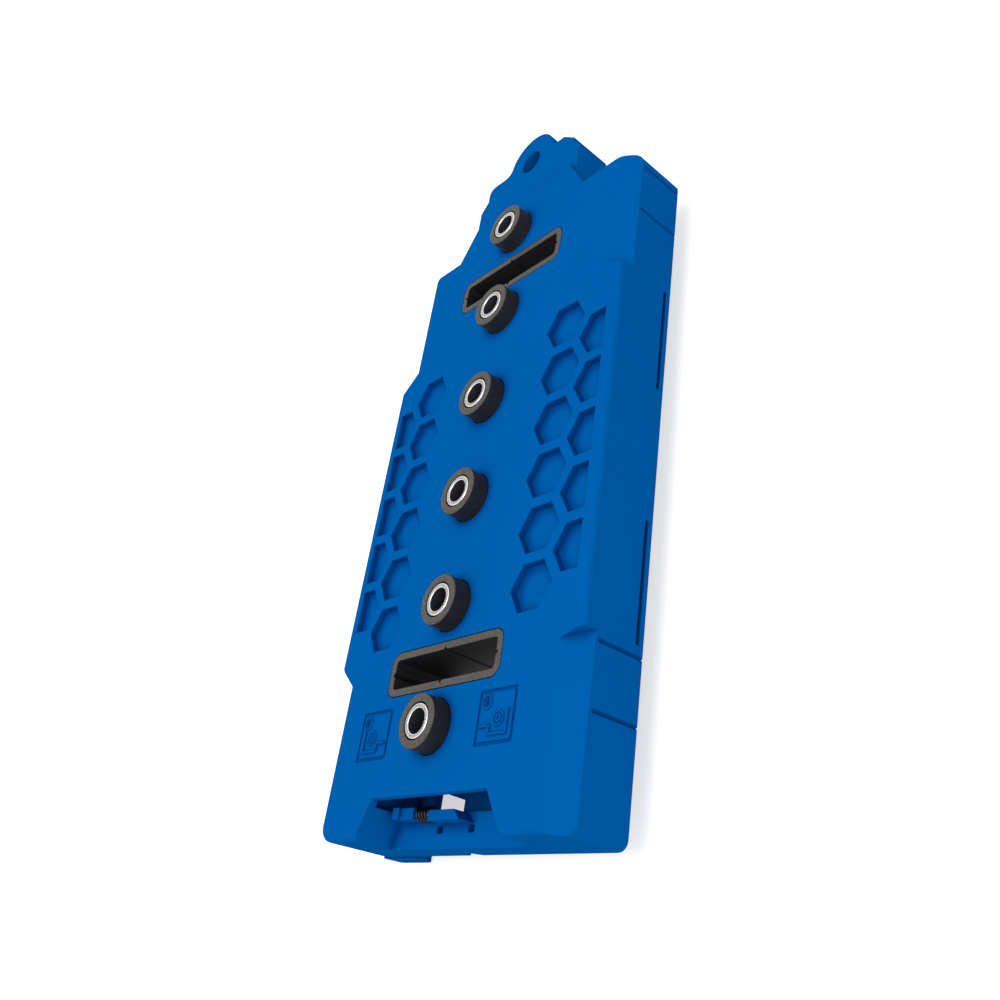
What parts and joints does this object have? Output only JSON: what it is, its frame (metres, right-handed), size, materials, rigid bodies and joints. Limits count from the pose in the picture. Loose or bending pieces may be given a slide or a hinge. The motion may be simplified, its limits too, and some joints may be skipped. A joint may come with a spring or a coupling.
{
  "type": "shelf pin drilling jig",
  "caption": "Shelf pin drilling jig: blue moulded body, row of collared steel drill guides, notched sight windows, joining ear and a swivelling edge fence on its back.",
  "frame": {"origin": "middle of the footprint, on the plane of the lowest face, under the fence bar", "axes": "+X across the jig towards its bevelled side, +Y along it towards the joining ear, +Z out of the front face"},
  "size_m": [0.0984, 0.2294, 0.0331],
  "materials": {
    "blue_moulding": "fine matte moulded",
    "charcoal_moulding": "fine textured",
    "hardened_steel": "ground",
    "grip_rubber": "matte",
    "spring_steel": "drawn wire"
  },
  "bodies": {
    "body": {"housing": "blue_moulding", "base_plate": "blue_moulding", "grip_pad_lower_left": "grip_rubber", "grip_pad_lower_right": "grip_rubber", "grip_pad_upper_left": "grip_rubber", "grip_pad_upper_right": "grip_rubber", "guide_collar_1": "charcoal_moulding", "guide_collar_2": "charcoal_moulding", "guide_collar_3": "charcoal_moulding", "guide_collar_4": "charcoal_moulding", "guide_collar_5": "charcoal_moulding", "guide_collar_6": "charcoal_moulding", "guide_bushing_1": "hardened_steel", "guide_bushing_2": "hardened_steel", "guide_bushing_3": "hardened_steel", "guide_bushing_4": "hardened_steel", "guide_bushing_5": "hardened_steel", "guide_bushing_6": "hardened_steel", "slot_liner_lower": "charcoal_moulding", "slot_liner_upper": "charcoal_moulding", "cover_screw_1": "hardened_steel", "cover_screw_2": "hardened_steel", "cover_screw_3": "hardened_steel", "cover_screw_4": "hardened_steel", "cover_screw_5": "hardened_steel", "cover_screw_6": "hardened_steel", "fence_pivot_screw": "hardened_steel", "fence_pivot_washer": "spring_steel", "fence_detent_ball": "hardened_steel", "fence_detent_spring": "spring_steel", "link_catch_spring": "spring_steel"},
    "fence": {"swivel_fence": "blue_moulding"},
    "catch": {"link_catch": "blue_moulding"}
  },
  "joints": [
    {"name": "fence_swivel", "type": "hinge", "parent": "body", "child": "fence", "pos_m": [0.0045, -0.00805, 0.0075], "axis": [0, 0, 1], "range_deg": [0, 180]},
    {"name": "catch_slide", "type": "slide", "parent": "body", "child": "catch", "axis": [1, 0, 0], "range_m": [0, 0.003], "stiffness_N_per_m": 300, "springref_m": -0.001, "deforming": ["link_catch_spring"]}
  ]
}
